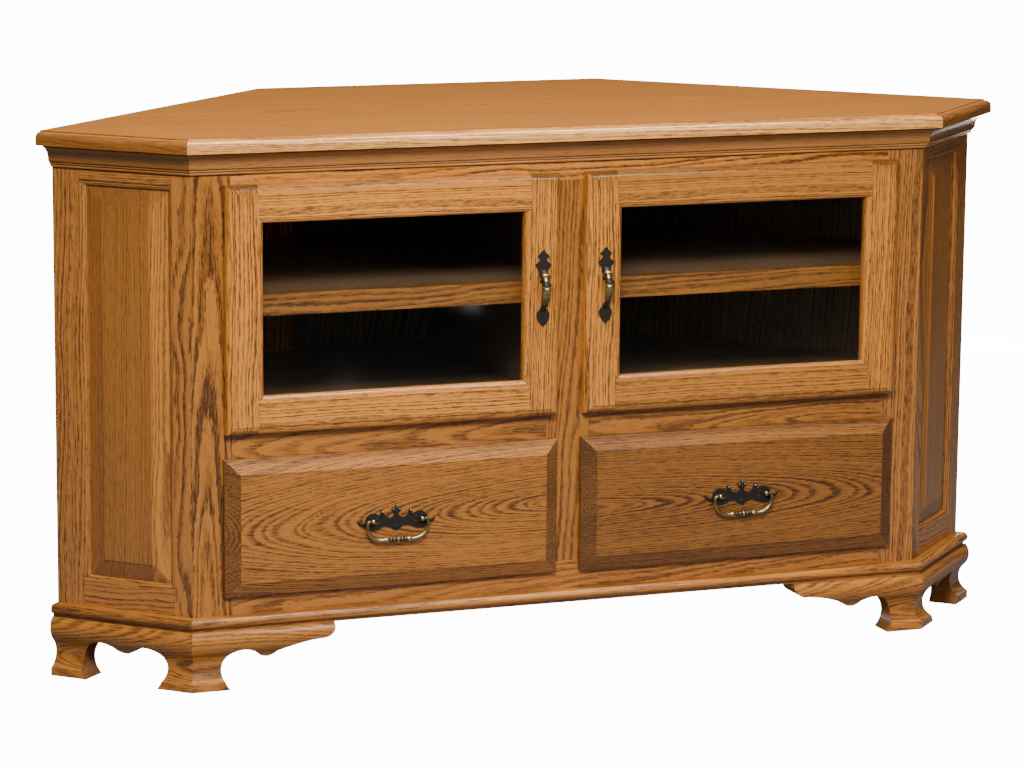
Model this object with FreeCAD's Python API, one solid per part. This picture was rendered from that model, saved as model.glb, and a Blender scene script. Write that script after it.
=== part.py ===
import FreeCAD, Part
import math
import os

# Corner cabinet for a television: an oak carcase on ogee bracket feet, with two glazed doors
# over two drawers. Millimetres, x to the right, y to the back, z up. The pieces are built with
# the carcase's front face on y = 0 and moved at the end so that the origin is the middle of
# the floor area.

# Carcase
overall_height = 787.0
front_width = 1132.0
cant_length = 222.0
cant_angle = 45.0
carcase_depth = 600.0
frame_thickness = 20.0
board_thickness = 18.0
back_thickness = 6.0
back_rabbet = 10.0

# Top slab
top_thickness = 20.0
top_overhang = 34.0
top_back_overhang = 6.0
top_round = 9.0
top_ledge = 2.5
top_quirk = 2.0

# Crown moulding
crown_height = 33.0
crown_projection = 25.0
crown_foot = 2.0
crown_bead = 4.4
crown_bead_step = 3.0
crown_bead_bulge = 1.7
crown_fillet = 3.5
crown_lip = 3.0
crown_cove_sag = 3.0

# Face frame
stile_width = 58.0
mullion_width = 66.0
rail_top_height = 59.5
rail_middle_height = 62.0
rail_bottom_height = 42.0
drawer_opening_height = 170.0
tenon_length = 20.0
tenon_thickness = 8.0
tenon_shoulder = 6.0

# Moulded inner edge of every frame
stick_width = 8.0
stick_depth = 8.0
stick_round = 6.5

# Canted sides
side_stile_front = 38.0
side_stile_rear = 52.0
side_rail_top = 57.0
side_rail_bottom = 44.0
panel_tongue = 6.0
panel_lap = 7.0
panel_groove_gap = 1.0
panel_bevel = 25.5
panel_field_depth = 1.0
panel_step = 1.0

# Base and feet
base_thickness = 18.0
base_nose = 14.0
base_projection = 20.0
base_lap = 50.0
foot_height = 86.0
foot_flare = 22.0
foot_neck = 7.0
foot_bulge = 23.0
foot_neck_height = 34.0
foot_bulge_height = 70.0
foot_neck_radius = 24.5
bracket_thickness = 45.0
bracket_length = 214.0
foot_width = 58.0
foot_waist = 11.0
foot_knee = 49.0
arch_width = 41.0
arch_rise = 7.5
pendant_width = 30.0
pendant_drop = 7.0
side_pendant_width = 33.0
spur_width = 68.0
spur_height = 65.0
spur_sag = 3.5
tip_height = 78.0
tip_sag = 3.0
rear_foot_size = 60.0
rear_foot_from_corner = 30.0

# Media bays
shelf_thickness = 19.0
shelf_nosing = 31.0
shelf_nosing_depth = 19.0
shelf_top = 558.5
shelf_setback = 5.0
shelf_clearance = 2.0
shelf_nosing_past_bay = 36.0
pin_radius = 3.0
pin_length = 17.0
pin_hole_depth = 7.0
pin_clearance = 0.1
pin_front_inset = 80.0
pin_back_inset = 150.0
pin_front_along = 14.0
pin_rear_inset = 30.0
post_leg = 40.0
post_depth = 25.0
cleat_size = 22.0
cable_hole_radius = 30.0
cable_hole_above_deck = 80.0

# Doors and drawer fronts
front_gap = 1.0
front_thickness = 20.0
door_overlay = 12.0
door_member = 54.0
edge_round = 9.0
edge_ledge = 2.0
edge_quirk = 2.0
edge_back_ease = 1.5
glass_thickness = 4.0
glass_rabbet = 10.0
glass_rabbet_depth = 10.0
glass_play = 2.0
bead_width = 9.0
door_tenon = 6.0

# Hinges
hinge_pin_inset = 3.5
hinge_pin_forward = 5.5
hinge_from_end = 60.0
hinge_height = 44.0
hinge_knuckle_radius = 2.8
hinge_pin_radius = 1.2
hinge_pin_clearance = 0.3
hinge_knuckle_gap = 0.3
hinge_end_knuckle = 14.0
hinge_leaf = 1.0
hinge_leaf_wrap = 16.0
hinge_leaf_width = 23.0
hinge_notch_room = 0.4

# Door pulls: the right half of each plate from the top down, as (across, up, arc's sag)
pull_above_middle = 11.0
pull_plate = 2.5
pull_leaf = [
    (0.0, 57.0, 0.0),
    (3.4, 52.5, 0.5),
    (9.0, 47.0, 0.6),
    (4.8, 42.5, -0.8),
    (5.8, 41.0, 0.0),
    (12.2, 37.0, -0.8),
    (7.8, 29.5, 1.2),
    (5.8, 19.0, -0.6),
    (0.0, 17.0, 0.0),
]
pull_spade = [
    (0.0, -23.5, 0.0),
    (3.4, -25.5, 0.0),
    (7.8, -32.5, -0.6),
    (9.6, -39.0, 0.5),
    (6.4, -47.5, 0.8),
    (0.0, -54.5, 0.2),
]
# Stations along the bow from the leaf to the spade, as (up, out, half width, half depth)
pull_bow = [
    (25.0, 2.0, 5.2, 4.6),
    (20.0, 8.0, 4.8, 4.4),
    (12.0, 13.2, 4.8, 4.2),
    (4.0, 14.9, 6.2, 4.6),
    (-8.0, 13.8, 6.2, 3.4),
    (-20.0, 9.6, 4.2, 2.8),
    (-31.0, 2.6, 3.4, 2.4),
]
pull_collar_neck = 3.4
pull_collar_radius = 9.0
pull_collar_flare = 3.0
pull_collar_rim = 1.8
pull_ferrule_radius = 7.4
pull_ferrule_length = 12.0
pull_ferrule_groove = 0.9

# Drawers
drawer_overlay = 14.0
drawer_bevel = 20.5
drawer_edge = 8.0
drawer_step = 1.0
drawer_side = 12.0
drawer_box_height = 140.0
drawer_box_depth = 325.0
drawer_bottom = 6.0
drawer_bottom_groove = 5.0
drawer_bottom_rise = 10.0
slide_width = 12.7
slide_height = 35.0
slide_length = 300.0
slide_wall = 1.2
slide_play = 0.35
slide_flange = 9.0
slide_front_inset = 2.0
packer_height = 60.0
divider_back_gap = 4.0

# Drawer pulls: the right half of the backplate from the finial down, as (across, up, arc's sag)
plate_thickness = 2.5
plate_outline = [
    (0.0, 23.4, 0.0),
    (2.4, 18.6, 0.3),
    (7.0, 15.4, 1.8),
    (2.8, 11.0, 1.2),
    (2.8, 9.0, 0.0),
    (12.0, 3.0, -2.4),
    (19.0, 13.4, -2.0),
    (23.6, 13.0, 1.8),
    (26.0, 6.5, -0.8),
    (47.0, -1.5, 8.0),
    (59.0, 1.5, -3.0),
    (49.5, -7.0, 2.6),
    (26.0, -11.8, 4.0),
    (8.5, -9.8, -2.2),
    (0.0, -15.0, 1.2),
]
post_spacing = 74.0
post_radius = 3.0
post_reach = 9.6
post_head_radius = 3.6
bail_axis_forward = 6.0
bail_radius = 2.6
bail_pin_radius = 1.3
bail_pin_clearance = 0.3
bail_half_width = 46.0
bail_drop = 28.0
bail_shoulder = 4.0
bail_corner = 22.0
# Turned rings from the bail's middle to the right, as (middle, half width, rise)
bail_rings = [
    (0.0, 2.3, 1.7),
    (6.0, 1.9, 1.1),
    (10.8, 1.9, 0.9),
    (17.2, 3.9, 1.2),
]

Vector = FreeCAD.Vector
up = Vector(0, 0, 1)
right = Vector(1, 0, 0)
back = Vector(0, 1, 0)

# Heights and places that follow from the sizes above
top_bottom = overall_height - top_thickness
carcase_bottom = foot_height + base_thickness
drawer_opening_bottom = carcase_bottom + rail_bottom_height
drawer_opening_top = drawer_opening_bottom + drawer_opening_height
door_opening_bottom = drawer_opening_top + rail_middle_height
door_opening_top = top_bottom - rail_top_height
half_front = front_width / 2
bay_inner = mullion_width / 2
bay_outer = half_front - stile_width
bay_middle = (bay_inner + bay_outer) / 2
deck_top = door_opening_bottom
deck_bottom = deck_top - board_thickness
floor_top = carcase_bottom + board_thickness
front_back = -front_gap
front_face = front_back - front_thickness
cant_radians = math.radians(cant_angle)
cant_along = Vector(math.cos(cant_radians), math.sin(cant_radians), 0)
cant_inward = Vector(-math.sin(cant_radians), math.cos(cant_radians), 0)
mitre_slope = math.tan(cant_radians / 2)
parts = {}


# Plan: points of the right half, measured along and into the canted side or out from the front
def cant_point(along, depth):
    point = right * half_front + cant_along * along + cant_inward * depth
    return (point.x, point.y)


def front_corner(out):
    return (half_front + out * mitre_slope, -out)


def back_corner(inset):
    along = cant_length - inset
    depth = (carcase_depth - inset - along * cant_along.y) / cant_inward.y
    return cant_point(along, depth)


def mirrored_plan(points):
    return points + [(-x, y) for x, y in reversed(points)]


# Solids
def block(x0, x1, y0, y1, z0, z1):
    return Part.makeBox(x1 - x0, y1 - y0, z1 - z0, Vector(x0, y0, z0))


def rod(radius, start, direction, length):
    return Part.makeCylinder(radius, length, start, direction)


def mirrored(shape):
    return shape.mirror(Vector(0, 0, 0), right)


def pair(shape):
    return [shape, mirrored(shape)]


def sagged(start, end, sag):
    """An outline node at end, reached by an arc that stands sag to the left of the chord."""
    run = (end[0] - start[0], end[1] - start[1])
    length = math.hypot(run[0], run[1])
    middle = ((start[0] + end[0]) / 2, (start[1] + end[1]) / 2)
    return (end[0], end[1], middle[0] - run[1] * sag / length, middle[1] + run[0] * sag / length)


def turned(centre, radius, first, last):
    """An outline node reached by an arc round centre, from the first to the last angle."""
    end = math.radians(last)
    middle = math.radians((first + last) / 2)
    return (
        centre[0] + radius * math.cos(end),
        centre[1] + radius * math.sin(end),
        centre[0] + radius * math.cos(middle),
        centre[1] + radius * math.sin(middle),
    )


def outline_face(nodes, place):
    """A face inside nodes: (u, v) is reached by a line, (u, v, u_mid, v_mid) by an arc."""
    edges = []
    first = place(nodes[0][0], nodes[0][1])
    here = first
    for node in nodes[1:]:
        there = place(node[0], node[1])
        if len(node) == 2:
            edges.append(Part.makeLine(here, there))
        else:
            edges.append(Part.Arc(here, place(node[2], node[3]), there).toShape())
        here = there
    if here.distanceToPoint(first) > 1e-6:
        edges.append(Part.makeLine(here, first))
    return Part.Face(Part.Wire(edges))


def half_outline(turns):
    """Outline nodes from (across, up, sag) turns on the right half, mirrored onto the left."""
    nodes = [turns[0][:2]]
    for before, turn in zip(turns[:-1], turns[1:]):
        nodes.append(sagged(before, turn, turn[2]) if turn[2] else turn[:2])
    for turn, before in zip(reversed(turns[1:]), reversed(turns[:-1])):
        start = (-turn[0], turn[1])
        end = (-before[0], before[1])
        nodes.append(sagged(start, end, turn[2]) if turn[2] else end)
    return nodes


def prism(points, z0, z1):
    face = outline_face(points, lambda x, y: Vector(x, y, z0))
    return face.extrude(up * (z1 - z0))


def run_profile(nodes, start, along, outward, length):
    """A moulding: nodes are (out, height), carried along from start."""
    face = outline_face(nodes, lambda out, z: start + outward * out + up * z)
    return face.extrude(along * length)


def edge_block(x0, x1, z0, z1, nodes):
    """A block whose four edges have one profile: nodes are (inset, y), from back to front."""
    reach = max(0.0, -min(node[0] for node in nodes))

    def section(low, high):
        rising = [(high - node[0], node[1]) for node in nodes[:1]]
        for node in nodes[1:]:
            rising.append((high - node[0], node[1]) if len(node) == 2
                          else (high - node[0], node[1], high - node[2], node[3]))
        falling = [(low + nodes[-1][0], nodes[-1][1])]
        for node, before in zip(reversed(nodes[1:]), reversed(nodes[:-1])):
            falling.append((low + before[0], before[1]) if len(node) == 2
                           else (low + before[0], before[1], low + node[2], node[3]))
        return rising + falling

    across = outline_face(section(z0, z1), lambda z, y: Vector(x0 - reach, y, z))
    upright = outline_face(section(x0, x1), lambda x, y: Vector(x, y, z0 - reach))
    across = across.extrude(right * (x1 - x0 + 2 * reach))
    upright = upright.extrude(up * (z1 - z0 + 2 * reach))
    return across.common(upright)


def to_cant(shape):
    """Move a piece drawn flat (x along the side, y into it) to the right canted side."""
    moved = shape.copy()
    turn = FreeCAD.Rotation(up, cant_angle)
    moved.Placement = FreeCAD.Placement(right * half_front, turn).multiply(moved.Placement)
    return moved


def keep(name, shapes):
    solids = [solid for shape in shapes for solid in shape.Solids]
    parts[name] = Part.makeCompound(solids)


# Plan prisms that end each moulding on its mitre
def mitred_front(out, z0, z1):
    inner = front_corner(-base_lap)
    outer = front_corner(out)
    return prism([(-inner[0], inner[1]), inner, outer, (-outer[0], outer[1])], z0, z1)


def mitred_cant(out, z0, z1):
    rear_inner = cant_point(cant_length, base_lap)
    rear_outer = cant_point(cant_length, -out)
    return prism([front_corner(-base_lap), rear_inner, rear_outer, front_corner(out)], z0, z1)


def front_run(nodes, out, z0, z1):
    start = Vector(-2 * half_front, 0, 0)
    long = run_profile(nodes, start, right, -back, 4 * half_front)
    return long.common(mitred_front(out, z0, z1))


def cant_run(nodes, out, z0, z1):
    start = right * half_front - cant_along * cant_length
    long = run_profile(nodes, start, cant_along, -cant_inward, 3 * cant_length)
    return long.common(mitred_cant(out, z0, z1))


# Top slab, moulded on its front edge and on both canted edges
top_plan = mirrored_plan([
    front_corner(top_overhang),
    cant_point(cant_length + top_back_overhang, -top_overhang),
    back_corner(-top_back_overhang),
])
ledge_height = overall_height - top_quirk
round_start = ledge_height - top_round
waste = [
    (top_round, round_start),
    (0, round_start),
    turned((-top_round, round_start), top_round, 0, 90),
    (-top_round - top_ledge, ledge_height),
    (-top_round - top_ledge, overall_height + top_round),
    (top_round, overall_height + top_round),
]
slab = prism(top_plan, top_bottom, overall_height)
edge_start = Vector(-2 * half_front, -top_overhang, 0)
slab = slab.cut(run_profile(waste, edge_start, right, -back, 4 * half_front))
cant_start = right * half_front - cant_along * cant_length - cant_inward * top_overhang
cant_waste = run_profile(waste, cant_start, cant_along, -cant_inward, 3 * cant_length)
for side_waste in pair(cant_waste):
    slab = slab.cut(side_waste)
keep("top_panel", [slab])

# Crown moulding under the overhang: two beads, a cove and a fillet, in three mitred lengths
crown_bottom = top_bottom - crown_height
bead_one = (crown_foot, crown_bottom)
bead_two = (crown_foot + crown_bead_step, crown_bottom + crown_bead)
bead_end = (crown_foot + 2 * crown_bead_step, crown_bottom + 2 * crown_bead)
cove_start = (bead_end[0] + crown_lip, bead_end[1] + crown_lip / 2)
cove_end = (crown_projection - crown_lip, top_bottom - crown_fillet)
crown = [
    (0, crown_bottom),
    bead_one,
    sagged(bead_one, bead_two, -crown_bead_bulge),
    sagged(bead_two, bead_end, -crown_bead_bulge),
    (cove_start[0], bead_end[1]),
    cove_start,
    sagged(cove_start, cove_end, crown_cove_sag),
    (crown_projection, cove_end[1]),
    (crown_projection, top_bottom),
    (0, top_bottom),
]
keep("crown_front", [front_run(crown, crown_projection, crown_bottom, top_bottom)])
keep("crown_ends", pair(cant_run(crown, crown_projection, crown_bottom, top_bottom)))


# Face frame: rails are tenoned into the stiles, and the mullion into the rails
def tenon(x0, x1, z0, z1):
    y0 = (frame_thickness - tenon_thickness) / 2
    return block(x0, x1, y0, y0 + tenon_thickness, z0 + tenon_shoulder, z1 - tenon_shoulder)


def upright_tenon(z0, z1):
    y0 = (frame_thickness - tenon_thickness) / 2
    half = bay_inner - tenon_shoulder
    return block(-half, half, y0, y0 + tenon_thickness, z0, z1)


rail_spans = {
    "top": (door_opening_top, top_bottom),
    "middle": (drawer_opening_top, door_opening_bottom),
    "bottom": (carcase_bottom, drawer_opening_bottom),
}
stile = prism([
    (bay_outer, 0),
    front_corner(0),
    front_corner(-frame_thickness),
    (bay_outer, frame_thickness),
], carcase_bottom, top_bottom)
for low, high in rail_spans.values():
    stile = stile.cut(tenon(bay_outer, bay_outer + tenon_length, low, high))

mullion = block(-bay_inner, bay_inner, 0, frame_thickness, drawer_opening_bottom, door_opening_top)
mullion = mullion.fuse(upright_tenon(drawer_opening_bottom - tenon_length, drawer_opening_bottom))
mullion = mullion.fuse(upright_tenon(door_opening_top, door_opening_top + tenon_length))
middle_low, middle_high = rail_spans["middle"]
middle_rail = block(bay_inner, bay_outer, 0, frame_thickness, middle_low, middle_high)
inner_tenon = tenon(bay_inner - tenon_length, bay_inner, middle_low, middle_high)
outer_tenon = tenon(bay_outer, bay_outer + tenon_length, middle_low, middle_high)
middle_rail = middle_rail.fuse(inner_tenon).fuse(outer_tenon)
for side_tenon in pair(inner_tenon):
    mullion = mullion.cut(side_tenon)
keep("face_mullion", [mullion.removeSplitter()])
keep("face_rails_middle", pair(middle_rail.removeSplitter()))
for name in ("top", "bottom"):
    low, high = rail_spans[name]
    rail = block(-bay_outer, bay_outer, 0, frame_thickness, low, high)
    rail_end = tenon(bay_outer, bay_outer + tenon_length, low, high)
    for end in pair(rail_end):
        rail = rail.fuse(end)
    keep("face_rail_" + name, [rail.cut(mullion).removeSplitter()])


# Canted sides, drawn flat: a tenoned frame round a raised panel that floats in a groove
sight_front = side_stile_front
sight_rear = cant_length - side_stile_rear
sight_bottom = carcase_bottom + side_rail_bottom
sight_top = top_bottom - side_rail_top
side_stick = [
    (0, frame_thickness + stick_depth),
    (0, stick_depth),
    turned((-stick_round, stick_depth), stick_round, 0, -90),
    (-stick_width, stick_depth - stick_round),
    (-stick_width, -stick_depth),
]
side_opening = edge_block(sight_front, sight_rear, sight_bottom, sight_top, side_stick)
groove_reach = panel_lap + panel_groove_gap
tongue_back = stick_depth + panel_tongue
groove = block(
    sight_front - groove_reach, sight_rear + groove_reach, stick_depth, tongue_back,
    sight_bottom - groove_reach, sight_top + groove_reach,
)
joint_front = sight_front - stick_width
joint_rear = sight_rear + stick_width


def side_member(shape):
    return shape.cut(side_opening).cut(groove)


front_plan = [
    (0, 0),
    (joint_front, 0),
    (joint_front, frame_thickness),
    (frame_thickness * mitre_slope, frame_thickness),
]
front_stile = prism(front_plan, carcase_bottom, top_bottom)
front_stile = front_stile.fuse(
    block(joint_front, sight_front, 0, frame_thickness, sight_bottom, sight_top)
)
rear_stile = block(joint_rear, cant_length, 0, frame_thickness, carcase_bottom, top_bottom)
rear_stile = rear_stile.fuse(
    block(sight_rear, joint_rear, 0, frame_thickness, sight_bottom, sight_top)
)
rear_stile = rear_stile.cut(block(
    cant_length - back_thickness, cant_length, back_rabbet, frame_thickness,
    carcase_bottom, top_bottom,
))
side_tenon_length = tenon_length - tenon_shoulder
side_rails = []
for low, high in ((carcase_bottom, sight_bottom), (sight_top, top_bottom)):
    rail = block(joint_front, joint_rear, 0, frame_thickness, low, high)
    rail = side_member(rail)
    tongue_low = low if low == carcase_bottom else sight_top + groove_reach
    tongue_high = sight_bottom - groove_reach if low == carcase_bottom else high
    for x0 in (joint_front - side_tenon_length, joint_rear):
        peg = tenon(x0, x0 + side_tenon_length, tongue_low, tongue_high)
        rail = rail.fuse(peg)
        front_stile = front_stile.cut(peg)
        rear_stile = rear_stile.cut(peg)
    side_rails.append(to_cant(rail.removeSplitter()))
front_stile = to_cant(side_member(front_stile).removeSplitter())
rear_stile = to_cant(side_member(rear_stile).removeSplitter())
side_panel = edge_block(
    sight_front - panel_lap, sight_rear + panel_lap,
    sight_bottom - panel_lap, sight_top + panel_lap,
    [
        (0, tongue_back),
        (0, stick_depth),
        (panel_lap, stick_depth),
        (panel_lap + panel_bevel, panel_field_depth + panel_step),
        (panel_lap + panel_bevel, panel_field_depth),
    ],
)
side_panel = to_cant(side_panel)

# Shelf pins: two in the partition, two in each canted side, under the shelf panel
shelf_underside = shelf_top - shelf_thickness
pin_height = shelf_underside - pin_radius
half_partition = board_thickness / 2
bay_front = frame_thickness
bay_back = carcase_depth - back_thickness
partition_pins = []
for y in (bay_front + pin_front_inset, bay_back - pin_back_inset):
    start = Vector(half_partition - pin_hole_depth, y, pin_height)
    partition_pins.append((start, right))
side_pins = []
for along in (pin_front_along, cant_length - pin_rear_inset):
    x, y = cant_point(along, frame_thickness - pin_hole_depth)
    side_pins.append((Vector(x, y, pin_height), cant_inward))
pins = [rod(pin_radius, start, way, pin_length) for start, way in partition_pins + side_pins]
keep("shelf_pins", [solid for pin in pins for solid in pair(pin)])


def drilled(shape, places):
    for start, way in places:
        hole = rod(pin_radius + pin_clearance, start, way, pin_length)
        shape = shape.cut(hole)
    return shape


front_stile = drilled(front_stile, side_pins)
rear_stile = drilled(rear_stile, side_pins)
for side, shape in (("right", lambda solid: solid), ("left", mirrored)):
    keep("side_stiles_" + side, [shape(front_stile), shape(rear_stile)])
    keep("side_rails_" + side, [shape(rail) for rail in side_rails])
    keep("side_panel_" + side, [shape(side_panel)])

# Decks, partitions and backs
inside_plan = mirrored_plan([
    front_corner(-frame_thickness),
    cant_point(cant_length - back_thickness, frame_thickness),
    back_corner(back_thickness),
])
keep("bottom_deck", [prism(inside_plan, carcase_bottom, floor_top)])
keep("middle_deck", [prism(inside_plan, deck_bottom, deck_top)])
upper_partition = block(-half_partition, half_partition, bay_front, bay_back, deck_top, top_bottom)
for start, way in partition_pins:
    hole = rod(pin_radius + pin_clearance, start, way, pin_length)
    for side_hole in pair(hole):
        upper_partition = upper_partition.cut(side_hole)
lower_partition = block(
    -half_partition, half_partition, bay_front, bay_back, floor_top, deck_bottom
)
keep("centre_partitions", [upper_partition, lower_partition])

angled_back = prism([
    cant_point(cant_length, back_rabbet),
    back_corner(0),
    back_corner(back_thickness),
    cant_point(cant_length - back_thickness, back_rabbet),
], carcase_bottom, top_bottom)
keep("back_panels_angled", pair(angled_back))
centre_plan = mirrored_plan([back_corner(back_thickness), back_corner(0)])
centre_back = prism(centre_plan, carcase_bottom, top_bottom)
corner_x, corner_y = back_corner(back_thickness)
cable_hole_x = (half_partition + corner_x) / 2
cable_hole = rod(
    cable_hole_radius,
    Vector(cable_hole_x, bay_back - back_thickness, deck_top + cable_hole_above_deck),
    back,
    3 * back_thickness,
)
for hole in pair(cable_hole):
    centre_back = centre_back.cut(hole)
keep("back_panel_centre", [centre_back])

wall_end = Vector(corner_x, corner_y, 0) - cant_inward * post_leg
wall_inner = wall_end - cant_along * post_depth
post_plan = [
    (corner_x, corner_y),
    (corner_x - post_leg, corner_y),
    (corner_x - post_leg, corner_y - post_depth),
    (wall_inner.x, wall_inner.y),
    (wall_end.x, wall_end.y),
]
posts = pair(prism(post_plan, floor_top, deck_bottom)) + pair(prism(post_plan, deck_top, top_bottom))
keep("back_corner_posts", posts)
cleat = block(
    half_partition, bay_outer, bay_front, bay_front + cleat_size,
    top_bottom - cleat_size, top_bottom,
)
keep("top_cleats", pair(cleat))

# Adjustable shelves with a deep nosing along the front
shelf_front = bay_front + shelf_setback
shelf_gap_along = cant_length - back_thickness - shelf_clearance
shelf_gap_depth = frame_thickness + shelf_clearance
front_along = (shelf_front - shelf_gap_depth * cant_inward.y) / cant_along.y
shelf_inner = half_partition + shelf_clearance
shelf_back = bay_back - shelf_clearance
shelf_plan = [
    (shelf_inner, shelf_front),
    cant_point(front_along, shelf_gap_depth),
    cant_point(shelf_gap_along, shelf_gap_depth),
    back_corner(back_thickness + shelf_clearance),
    (shelf_inner, shelf_back),
]
post_face = outline_face(post_plan, lambda x, y: Vector(x, y, shelf_underside))
post_room = post_face.makeOffset2D(shelf_clearance, 2).extrude(up * shelf_thickness)
shelf_board = prism(shelf_plan, shelf_underside, shelf_top).cut(post_room)
nosing_end = bay_outer + shelf_nosing_past_bay
nosing = block(
    shelf_inner, nosing_end, shelf_front, shelf_front + shelf_nosing_depth,
    shelf_top - shelf_nosing, shelf_top,
)
shelf_board = shelf_board.cut(nosing)
keep("shelf_right", [shelf_board, nosing])
keep("shelf_left", [mirrored(shelf_board), mirrored(nosing)])

# Base boards with a half-round nose over a quirk
nose_radius = base_nose / 2
nose_out = base_projection - nose_radius
nose_centre = (nose_out, carcase_bottom - nose_radius)
base_profile = [
    (-base_lap, foot_height),
    (nose_out, foot_height),
    (nose_out, carcase_bottom - base_nose),
    turned(nose_centre, nose_radius, -90, 90),
    (-base_lap, carcase_bottom),
]
keep("base_board_front", [front_run(base_profile, base_projection, foot_height, carcase_bottom)])
keep("base_board_ends", pair(cant_run(base_profile, base_projection, foot_height, carcase_bottom)))

# Ogee section of the bracket feet: two tangent arcs over a flared foot
neck_to_bulge = foot_bulge - foot_neck
rise_to_bulge = foot_bulge_height - foot_neck_height
radius_sum = (neck_to_bulge ** 2 + rise_to_bulge ** 2) / (2 * neck_to_bulge)
bulge_radius = radius_sum - foot_neck_radius
neck_centre = (foot_neck + foot_neck_radius, foot_neck_height)
bulge_centre = (foot_bulge - bulge_radius, foot_bulge_height)
lean = math.degrees(math.atan2(
    bulge_centre[1] - neck_centre[1], bulge_centre[0] - neck_centre[0]
))
flare_drop = math.sqrt(foot_neck_radius ** 2 - (foot_flare - neck_centre[0]) ** 2)
flare_angle = math.degrees(math.atan2(-flare_drop, foot_flare - neck_centre[0])) + 360
crest_angle = math.degrees(math.asin((foot_height - foot_bulge_height) / bulge_radius))
ogee = [
    (foot_flare - bracket_thickness, 0),
    (foot_flare, 0),
    (foot_flare, foot_neck_height - flare_drop),
    turned(neck_centre, foot_neck_radius, flare_angle, lean),
    turned(bulge_centre, bulge_radius, lean - 180, crest_angle),
    (foot_flare - bracket_thickness, foot_height),
]

# Cut line of a bracket, from the foot's outer corner: waist, knee, arch and half the pendant
knee = (foot_width, foot_knee)
arch_foot = (foot_width + arch_width, foot_knee)
inner_heel = (foot_width, 0)
bracket_start = [
    (0, 0),
    inner_heel,
    sagged(inner_heel, knee, foot_waist),
]
pendant_end = (arch_foot[0] + pendant_width, foot_knee)
spur = (pendant_end[0] + spur_width, spur_height)
tip = (bracket_length, tip_height)
front_cut = bracket_start + [
    sagged(knee, arch_foot, arch_rise),
    sagged(arch_foot, pendant_end, -pendant_drop),
    sagged(pendant_end, spur, spur_sag),
    sagged(spur, tip, -tip_sag),
    (bracket_length, foot_height),
    (0, foot_height),
]
corner_out = front_corner(foot_flare)
front_bracket = front_run(ogee, foot_bulge, 0, foot_height)
front_cutter = outline_face(
    front_cut, lambda along, z: Vector(corner_out[0] - along, -foot_bulge, z)
).extrude(back * 2 * bracket_thickness)
front_bracket = front_bracket.common(front_cutter)
keep("bracket_front_right", [front_bracket])
keep("bracket_front_left", [mirrored(front_bracket)])

cant_run_length = cant_length + foot_flare * mitre_slope
side_arch_width = (cant_run_length - 2 * foot_width - side_pendant_width) / 2
near_arch = (foot_width + side_arch_width, foot_knee)
far_arch = (near_arch[0] + side_pendant_width, foot_knee)
far_knee = (cant_run_length - foot_width, foot_knee)
far_heel = (cant_run_length - foot_width, 0)
side_cut = bracket_start + [
    sagged(knee, near_arch, arch_rise),
    sagged(near_arch, far_arch, -pendant_drop),
    sagged(far_arch, far_knee, arch_rise),
    sagged(far_knee, far_heel, foot_waist),
    (cant_run_length, 0),
    (cant_run_length, foot_height),
    (0, foot_height),
]
cut_origin = Vector(corner_out[0], corner_out[1], 0) - cant_inward * foot_bulge
side_cutter = outline_face(
    side_cut, lambda along, z: cut_origin + cant_along * along + up * z
).extrude(cant_inward * 2 * bracket_thickness)
side_bracket = cant_run(ogee, foot_bulge, 0, foot_height).common(side_cutter)
keep("bracket_side_right", [side_bracket])
keep("bracket_side_left", [mirrored(side_bracket)])
rear_x = corner_x - rear_foot_from_corner
rear_y = corner_y - rear_foot_from_corner
rear_foot = block(rear_x - rear_foot_size, rear_x, rear_y - rear_foot_size, rear_y, 0, carcase_bottom)
keep("rear_feet", pair(rear_foot))

# Doors: moulded outer edge, moulded sight edge, pane in a rabbet held by beads
door_left = bay_inner - door_overlay
door_right = bay_outer + door_overlay
door_low = door_opening_bottom - door_overlay
door_high = door_opening_top + door_overlay
edge_start_y = front_face + edge_quirk + edge_round
door_edge = [
    (edge_back_ease, front_back),
    turned((edge_back_ease, front_back - edge_back_ease), edge_back_ease, 90, 180),
    (0, edge_start_y),
    turned((edge_round, edge_start_y), edge_round, 180, 270),
    (edge_round + edge_ledge, front_face + edge_quirk),
    (edge_round + edge_ledge, front_face),
]
door_slab = edge_block(door_left, door_right, door_low, door_high, door_edge)
pane_left = door_left + door_member
pane_right = door_right - door_member
pane_low = door_low + door_member
pane_high = door_high - door_member
sight_lip = front_face + stick_depth
door_stick = [
    (0, front_back + stick_depth),
    (0, sight_lip),
    turned((-stick_round, sight_lip), stick_round, 0, -90),
    (-stick_width, sight_lip - stick_round),
    (-stick_width, front_face - stick_depth),
]
door_opening = edge_block(pane_left, pane_right, pane_low, pane_high, door_stick)
rabbet_y = front_back - glass_rabbet_depth
rabbet = block(
    pane_left - glass_rabbet, pane_right + glass_rabbet, rabbet_y, front_back,
    pane_low - glass_rabbet, pane_high + glass_rabbet,
)
door_frame = door_slab.cut(door_opening).cut(rabbet)


def door_stile(x0, x1, inner0, inner1):
    flat = block(x0, x1, front_face, front_back, door_low, door_high)
    stuck = block(inner0, inner1, front_face, front_back, pane_low, pane_high)
    return door_frame.common(flat.fuse(stuck))


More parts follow.
